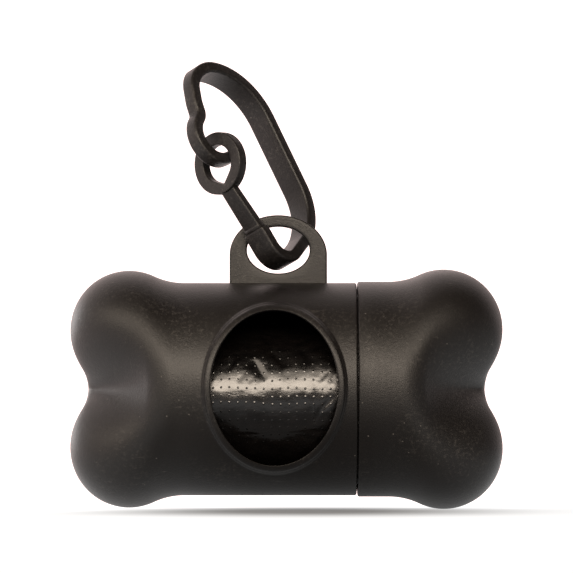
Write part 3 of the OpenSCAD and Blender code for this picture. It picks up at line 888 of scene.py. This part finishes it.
def ring_grid(centre, lean):
    """The gate's ring: a rounded section carried round between an outer circle and a
    drop-shaped hole, which is a circle with two tangents to a small circle."""
    c = sizes("clip")
    around = full_turn(RING_STEPS)
    hole, tip = c.ring_hole / 2, c.point_radius
    touch = math.acos((hole - tip) / c.hole_point)       # where the tangents leave the circles
    away = np.abs(around - math.pi)                      # the point lies at half a turn
    line = hole / np.cos(np.maximum(touch - away, 0))
    drop = c.hole_point * np.cos(away)
    small = drop + np.sqrt(np.maximum(tip ** 2 - (c.hole_point * np.sin(away)) ** 2, 0))
    edge = math.atan2(tip * math.sin(touch), c.hole_point + tip * math.cos(touch))
    inner = np.where(away > touch, hole, np.where(away < edge, small, line))
    outer = c.ring_diameter / 2
    round_in = rounded_section(outer - hole, c.ring_thickness, BAND_ROUNDING, steps=7) / 2
    part = 0.5 + round_in[:, 0] / (outer - hole)
    across = inner[:, None] + (outer - inner[:, None]) * part[None, :]
    deep = across * np.sin(around)[:, None]
    flat = across * np.cos(around)[:, None]
    side = np.broadcast_to(round_in[:, 1], flat.shape)
    out = np.array([lean[1], -lean[0]])
    ring = np.stack([centre[0] + lean[0] * flat + out[0] * side, deep,
                     centre[1] + lean[1] * flat + out[1] * side], -1)
    return np.concatenate([ring, ring[:1]])


# ---- Materials -------------------------------------------

class Nodes:
    """Short names for building the nodes of a material or of the world."""

    def __init__(self, owner, shader, coordinates):
        owner.use_nodes = True
        self.owner, self.tree = owner, owner.node_tree
        self.shader = self.tree.nodes[shader]
        self.place = self.add("ShaderNodeTexCoord").outputs[coordinates]

    def add(self, kind, inputs=None, **settings):
        """A node with its settings and its inputs, by name or number, set or linked."""
        node = self.tree.nodes.new(kind)
        for key, value in settings.items():
            setattr(node, key, value)
        for key, value in (inputs or {}).items():
            self.feed(node.inputs[key], value)
        return node

    def feed(self, socket, value):
        """Links an output to a socket, or sets the socket to a constant."""
        if isinstance(value, bpy.types.NodeSocket):
            self.tree.links.new(value, socket)
        else:
            socket.default_value = value

    def math(self, operation, a, b=0.0):
        """Result of a named operation on one or two values."""
        return self.add("ShaderNodeMath", {0: a, 1: b}, operation=operation).outputs[0]

    def plus(self, a, b):
        """Sum of two values."""
        return self.math("ADD", a, b)

    def times(self, a, b):
        """Product of two values."""
        return self.math("MULTIPLY", a, b)

    def noise(self, scale, detail=3.0, roughness=0.5, place=None):
        """Cloudy noise from 0 to 1, its scale in clouds per metre."""
        node = self.add("ShaderNodeTexNoise", {"Vector": place or self.place, "Scale": scale,
                                               "Detail": detail, "Roughness": roughness})
        return node.outputs["Fac"]

    def stretched(self, scale, rotation=(0, 0, 0)):
        """The place, scaled by axis and then turned, so that noise on it runs one way."""
        return self.add("ShaderNodeMapping", {"Vector": self.place, "Scale": scale,
                                              "Rotation": rotation}).outputs["Vector"]

    def ramp(self, value, *stops):
        """A colour ramp from (position, tone) stops."""
        node = self.add("ShaderNodeValToRGB", {"Fac": value})
        elements = node.color_ramp.elements
        while len(elements) < len(stops):
            elements.new(0.5)
        for element, (position, tone) in zip(elements, stops):
            element.position = position
            element.color = (*tone, 1)
        return node.outputs["Color"]

    def span(self, value, low, high, to_low, to_high, kind="LINEAR"):
        """Carries low to to_low and high to to_high, straight between, and holds both ends."""
        node = self.add("ShaderNodeMapRange", {"Value": value, "From Min": low, "From Max": high,
                                               "To Min": to_low, "To Max": to_high},
                        interpolation_type=kind)
        return node.outputs["Result"]

    def rise(self, value, low, high, to_low, to_high):
        """The same as span with a smooth cubic between."""
        return self.span(value, low, high, to_low, to_high, "SMOOTHSTEP")

    def dot(self, vector, direction):
        """How far a vector reaches along a direction."""
        node = self.add("ShaderNodeVectorMath", {0: vector, 1: direction},
                        operation="DOT_PRODUCT")
        return node.outputs["Value"]

    def bump(self, height, strength, distance, normal=None):
        """A normal bent by a height, on top of another normal if one is given."""
        inputs = {"Height": height, "Strength": strength, "Distance": distance}
        if normal is not None:
            inputs["Normal"] = normal
        return self.add("ShaderNodeBump", inputs).outputs["Normal"]


def material_nodes(name):
    """Nodes of a new material, placed by the object's own coordinates."""
    return Nodes(bpy.data.materials.new(name), "Principled BSDF", "Object")


def moulded_plastic(name, dark, light, gloss):
    """Satin moulded plastic. Its tone goes from dark to light by 0.7 of a slow cloud plus 0.3
    of a finer one. The dust's tone covers it by the largest of scuffs, specks and dust, the
    scuffs and the dust by less than half. Roughness lies round the gloss by the slow cloud and
    falls a little on scuffs. Two fine grains bend the normal."""
    n = material_nodes(name)
    cloud = n.noise(scale=60, detail=3)
    grain = n.noise(scale=3200, detail=2, roughness=0.6)
    fine = n.noise(scale=1300, detail=3, roughness=0.55)
    streaks = n.stretched(scale=(140, 600, 900), rotation=(0.3, 0.5, 0.9))
    scuffs = n.span(n.noise(1.0, 4, 0.7, streaks), 0.66, 0.74, 0, 1)
    cells = n.add("ShaderNodeTexVoronoi", {"Vector": n.place, "Scale": 330.0})
    specks = n.span(cells.outputs["Distance"], 0.06, 0.03, 0, 1)
    patches = n.span(n.noise(scale=75, detail=2), 0.42, 0.66, 0.05, 1)
    dust = n.times(patches, n.span(n.noise(1500, 4, 0.75), 0.52, 0.7, 0, 1))
    worn = n.math("MAXIMUM", n.math("MAXIMUM", n.times(scuffs, 0.5), specks),
                  n.times(dust, 0.45))
    tone = n.ramp(n.plus(n.times(cloud, 0.7), n.times(fine, 0.3)), (0.3, dark), (0.7, light))
    mixed = n.add("ShaderNodeMix", {"Factor": worn, "A": tone, "B": (*sizes("colours").dust, 1)},
                  data_type="RGBA").outputs["Result"]
    rough = n.span(cloud, 0.3, 0.7, gloss - 0.03, gloss + 0.04)
    n.feed(n.shader.inputs["Base Color"], mixed)
    n.feed(n.shader.inputs["Roughness"], n.plus(rough, n.times(scuffs, -0.08)))
    n.feed(n.shader.inputs["Normal"],
           n.bump(fine, 1, 0.00002, n.bump(grain, 1, 0.00004)))
    n.shader.inputs["IOR"].default_value = 1.33
    return n.owner


def roll_place(n):
    """Place along the roll, and angle round its axis."""
    axis = n.add("ShaderNodeSeparateXYZ", {0: n.place}).outputs
    height = n.math("SUBTRACT", axis["Z"], CAD.roll_z)
    return axis["X"], n.math("ARCTAN2", height, axis["Y"])


def lattice_off(n, place):
    """Distance of a place, counted in pitches, from the middle of its lattice cell."""
    return n.math("SUBTRACT", n.math("FRACT", place), 0.5)


def bag_film(name):
    """Glossy black film: dots embossed in a square lattice that drifts with a slow noise, over
    slow waves and a fine crackle. A dot is a cone: its height falls evenly with distance."""
    r, tones = sizes("roll"), sizes("colours")
    n = material_nodes(name)
    along, turn = roll_place(n)
    drift = n.noise(scale=110, detail=1)
    u = n.math("DIVIDE", n.times(turn, CAD.roll), r.dot_pitch)
    v = n.math("DIVIDE", along, r.dot_pitch)
    du = lattice_off(n, n.plus(u, drift))
    dv = lattice_off(n, n.plus(v, n.times(drift, 0.6)))
    off = n.math("SQRT", n.plus(n.times(du, du), n.times(dv, dv)))
    dots = n.span(off, 0.0, r.dot_radius / r.dot_pitch, 1, 0)
    crackle = n.noise(1.0, 4, 0.6, n.stretched(scale=(420, 900, 900)))
    normal = n.bump(crackle, 1, 0.00004)
    normal = n.bump(n.noise(scale=150, detail=2), 1, 0.0003, normal)
    n.feed(n.shader.inputs["Normal"], n.bump(dots, 1, 0.00005, normal))
    n.feed(n.shader.inputs["Base Color"],
           n.ramp(crackle, (0.3, tones.film_dark), (0.75, tones.film_light)))
    n.feed(n.shader.inputs["Roughness"], n.span(crackle, 0.3, 0.7, 0.15, 0.24))
    n.shader.inputs["IOR"].default_value = 1.45
    return n.owner


SEAM_PITCH = 0.02  # metres along the core for each turn of its spiral seam


def paperboard(name):
    """Wound kraft board: fibres along the winding and a spiral seam, which lies where the
    place along the core in pitches plus the turn is half way between two whole numbers."""
    tones = sizes("colours")
    n = material_nodes(name)
    along, turn = roll_place(n)
    turn = n.math("DIVIDE", turn, 2 * math.pi)
    spiral = lattice_off(n, n.plus(n.math("DIVIDE", along, SEAM_PITCH), turn))
    seam = n.span(n.math("ABSOLUTE", spiral), 0.0, 0.015, 1, 0)
    fibre = n.noise(1.0, 5, 0.65, n.stretched(scale=(2400, 500, 500), rotation=(0, 0.5, 0.2)))
    tone = n.ramp(n.math("SUBTRACT", fibre, n.times(seam, 0.3)),
                  (0.15, tones.board_dark), (0.45, tones.board_middle),
                  (0.8, tones.board_light))
    n.feed(n.shader.inputs["Base Color"], tone)
    n.shader.inputs["Roughness"].default_value = 0.88
    n.feed(n.shader.inputs["Normal"], n.bump(fibre, 0.5, 0.00006))
    return n.owner


PAPER_TONE = 0.06  # colour of the studio's paper without its glow
SHADE_PLACE = (0.003, -0.038, -0.023)  # middle of the painted shadow on the floor in front of the object
SHADE_SIZE = (0.045, 0.088, 1)  # half its width and depth, in metres
TO_BACK_LEFT, TO_RIGHT = (-0.6, 0.8, 0), (1, -0.1, 0)


def studio_white(name):
    """Matt paper for the floor and its sweep, whose glow is painted light. Its glow is the
    product of three smooth rises: out of a painted shadow in front of the object, from the front
    right to the back left, and down again past the object's right. Towards the back left the
    glow turns warmer."""
    n = material_nodes(name)
    glow = sizes("studio").glow
    n.feed(n.shader.inputs["Base Color"],
           n.ramp(n.noise(scale=300, detail=2), (0.2, (PAPER_TONE - 0.01,) * 3),
                  (0.8, (PAPER_TONE + 0.01,) * 3)))
    spot = n.add("ShaderNodeMapping", {"Vector": n.place, "Location": SHADE_PLACE,
                                       "Scale": SHADE_SIZE}, vector_type="TEXTURE")
    away = n.add("ShaderNodeVectorMath", {0: spot.outputs["Vector"]}, operation="LENGTH")
    lean = n.dot(n.place, TO_BACK_LEFT)
    # painted shadow and painted light: the glow dims in a spot in front of the object, towards
    # the front right and past the object's right
    shade = n.rise(away.outputs["Value"], 0.2, 1.2, 0.18, 1.0)
    side = n.rise(lean, -0.05, 0.1, 0.48 * glow, glow)
    right = n.rise(n.dot(n.place, TO_RIGHT), 0.06, 0.18, 1.0, 0.55)
    n.shader.inputs["Roughness"].default_value = 1.0
    n.shader.inputs["Specular IOR Level"].default_value = 0.0
    n.feed(n.shader.inputs["Emission Color"],
           n.ramp(lean, (0.0, (1, 1, 1)), (0.14, (1, 0.82, 0.79))))
    n.feed(n.shader.inputs["Emission Strength"], n.times(n.times(shade, side), right))
    return n.owner


SHELL_GLOSS, CLIP_GLOSS = 0.45, 0.44  # middle roughness of the two plastics


def material(name):
    """A material of the part by name, made when it is first asked for."""
    tones = sizes("colours")
    makers = {
        "shell_plastic": lambda: moulded_plastic(name, tones.shell_dark, tones.shell_light,
                                                 SHELL_GLOSS),
        "clip_plastic": lambda: moulded_plastic(name, tones.clip_dark, tones.clip_light,
                                                CLIP_GLOSS),
        "bag_film": lambda: bag_film(name),
        "kraft_board": lambda: paperboard(name),
        "studio_paper": lambda: studio_white(name),
    }
    return bpy.data.materials.get(name) or makers[name]()


# ---- Operators -------------------------------------------

class DISPENSER_OT_body(bpy.types.Operator):
    """Build the main body's shell and the hanging lug."""

    bl_idname = "dispenser.body"
    bl_label = "Main body"

    def execute(self, context):
        shell = mesh_object("body_shell", body_patches())
        finish_piece(shell, "body", material("shell_plastic"), "shell", "main_body")
        lug = mesh_object("hanging_lug", lug_patches())
        finish_piece(lug, "body", material("shell_plastic"), "shell", "main_body")
        return {"FINISHED"}


class DISPENSER_OT_cap(bpy.types.Operator):
    """Build the pull-off cap."""

    bl_idname = "dispenser.cap"
    bl_label = "Cap"

    def execute(self, context):
        cap = mesh_object("cap_shell", cap_patches())
        finish_piece(cap, "cap", material("shell_plastic"), "shell", "cap")
        return {"FINISHED"}


class DISPENSER_OT_roll(bpy.types.Operator):
    """Build the film roll and dress its core."""

    bl_idname = "dispenser.roll"
    bl_label = "Roll of bags"

    def execute(self, context):
        film = mesh_object("film_roll", roll_patches(), sharp=60)
        finish_piece(film, "roll", material("bag_film"), "film", "bag_roll")
        core = frame["nodes"]["roll_core"]
        core.data.materials.clear()
        core.data.materials.append(material("kraft_board"))
        return {"FINISHED"}


class DISPENSER_OT_clip(bpy.types.Operator):
    """Build the clip's frame and its sprung gate."""

    bl_idname = "dispenser.clip"
    bl_label = "Clip"

    def execute(self, context):
        band = mesh_object("clip_band", frame_patches(), sharp=50)
        finish_piece(band, "clip", material("clip_plastic"), "clip", "clip_frame")
        gate = mesh_object("clip_gate_arm", gate_patches(), sharp=50)
        finish_piece(gate, "gate", material("clip_plastic"), "clip", "clip_gate")
        return {"FINISHED"}


SOFTBOXES = (  # name, place and size in metres, and the properties for colour and power
    ("key_softbox", (-0.14, -0.43, 0.24), (1.25, 0.28), "lamps", "key"),
    ("strip_softbox", (0, -0.45, 0.175), (0.28, 0.13), "lamps", "strip"),
    ("left_softbox", (-0.45, 0.42, 0.09), (0.36, 0.22), "side_lamp", "side"),
)
WHITE_WALLS = (-0.44, 0.87, -0.21)  # middle direction of the white walls
SWEEP_SIDE, SWEEP_FRONT = 1.4, -2.5  # the floor reaches this far to each side and to the front
SWEEP_BACK, SWEEP_BEND = 0.9, 0.6  # where the floor bends up, and the bend's radius
SWEEP_WALL = (0.9, 1.3)  # heights of the wall above the bend
SWEEP_STEPS = 24
SENSOR = 36  # width of the camera's sensor in mm
FAR = 20  # the camera sees this far, in metres


def stand(name, data, place, target):
    """Puts a lamp or a camera in its place, turned to a target."""
    holder = bpy.data.objects.new(name, data)
    holder.location = place
    holder.rotation_euler = (Vector(target) - Vector(place)).to_track_quat("-Z", "Y").to_euler()
    bpy.context.scene.collection.objects.link(holder)
    return holder


def softbox(name, place, size, tint, power):
    """A rectangular softbox that faces the object."""
    lamp = bpy.data.lights.new(name, "AREA")
    lamp.shape = "RECTANGLE"
    lamp.size, lamp.size_y = size
    lamp.energy = power
    lamp.color = tint
    stand(name, lamp, place, (0, 0, 0))


def surroundings(bright, dark):
    """Lightbox surroundings of one colour: white walls behind and at the left, which brighten
    smoothly towards their middle direction, and a grey room that darkens towards its
    ceiling."""
    n = Nodes(bpy.data.worlds.new("studio"), "Background", "Generated")
    walls = n.rise(n.dot(n.place, WHITE_WALLS), -0.2, 0.4, 0.0, bright)
    height = n.add("ShaderNodeSeparateXYZ", {0: n.place}).outputs["Z"]
    room = n.rise(height, 0.2, 0.7, dark, 0.1 * dark)
    n.shader.inputs["Color"].default_value = (*sizes("studio").walls, 1)
    n.feed(n.shader.inputs["Strength"], n.plus(walls, room))
    return n.owner


def sweep_grid(floor_z):
    """The studio's floor, a quarter circle up behind it, and a short wall."""
    across = np.linspace(-SWEEP_SIDE, SWEEP_SIDE, SWEEP_STEPS)
    bend = np.linspace(0, math.pi / 2, SWEEP_STEPS)
    flat = np.array([(y, floor_z) for y in np.linspace(SWEEP_FRONT, SWEEP_BACK, 20)])
    curve = np.stack([SWEEP_BACK + SWEEP_BEND * np.sin(bend),
                      floor_z + SWEEP_BEND - SWEEP_BEND * np.cos(bend)], -1)
    wall = np.array([(SWEEP_BACK + SWEEP_BEND, floor_z + z) for z in SWEEP_WALL])
    line = np.concatenate([flat, curve[1:], wall])
    return np.stack(np.broadcast_arrays(across, line[:, :1], line[:, 1:]), -1)


class DISPENSER_OT_studio(bpy.types.Operator):
    """Set up the pale floor, the softboxes and the camera."""

    bl_idname = "dispenser.studio"
    bl_label = "Studio"

    def execute(self, context):
        s = sizes("studio")
        sweep = mesh_object("studio_sweep", [(sweep_grid(CAD_BOX[0].z), False)], sharp=180,
                            merge=1e-7)
        sweep.data.materials.append(material("studio_paper"))
        context.scene.view_settings.view_transform = "Standard"
        context.scene.world = surroundings(s.fill, s.front)
        for name, place, size, tint, power in SOFTBOXES:
            softbox(name, place, size, getattr(s, tint), getattr(s, power))
        target = Vector((0, 0, s.look_up))
        back = Vector((math.sin(s.azimuth) * math.cos(s.elevation),
                       -math.cos(s.azimuth) * math.cos(s.elevation), math.sin(s.elevation)))
        camera = bpy.data.cameras.new("photo_camera")
        camera.sensor_width = SENSOR
        camera.lens = SENSOR * s.distance / s.frame_width
        camera.clip_end = FAR
        context.scene.camera = stand("photo_camera", camera, target + back * s.distance, target)
        return {"FINISHED"}


class DISPENSER_PT_panel(bpy.types.Panel):
    """Buttons and sizes in the 3D view's sidebar."""

    bl_idname = "DISPENSER_PT_panel"
    bl_label = "Bone bag dispenser"
    bl_space_type = "VIEW_3D"
    bl_region_type = "UI"
    bl_category = "Dispenser"

    def draw(self, context):
        for operator in OPERATORS:
            self.layout.operator(operator.bl_idname)
        for name, group in GROUPS.items():
            box = self.layout.box()
            box.label(text=group.__doc__)
            for prop in group.__annotations__:
                box.prop(getattr(context.scene, name), prop)


OPERATORS = (DISPENSER_OT_body, DISPENSER_OT_cap, DISPENSER_OT_roll, DISPENSER_OT_clip,
             DISPENSER_OT_studio)


def register():
    """Registers every class and gives the scene one pointer for each group of sizes."""
    for cls in (*GROUPS.values(), *OPERATORS, DISPENSER_PT_panel):
        bpy.utils.register_class(cls)
    for name, group in GROUPS.items():
        setattr(bpy.types.Scene, name, PointerProperty(type=group))


def unregister():
    """Takes back what register did, in the opposite order."""
    for name in GROUPS:
        delattr(bpy.types.Scene, name)
    for cls in (DISPENSER_PT_panel, *OPERATORS[::-1], *list(GROUPS.values())[::-1]):
        bpy.utils.unregister_class(cls)


def main():
    """Builds everything in order."""
    register()
    for operator in OPERATORS:
        getattr(bpy.ops.dispenser, operator.bl_idname.split(".")[1])()


if __name__ == "__main__":
    main()
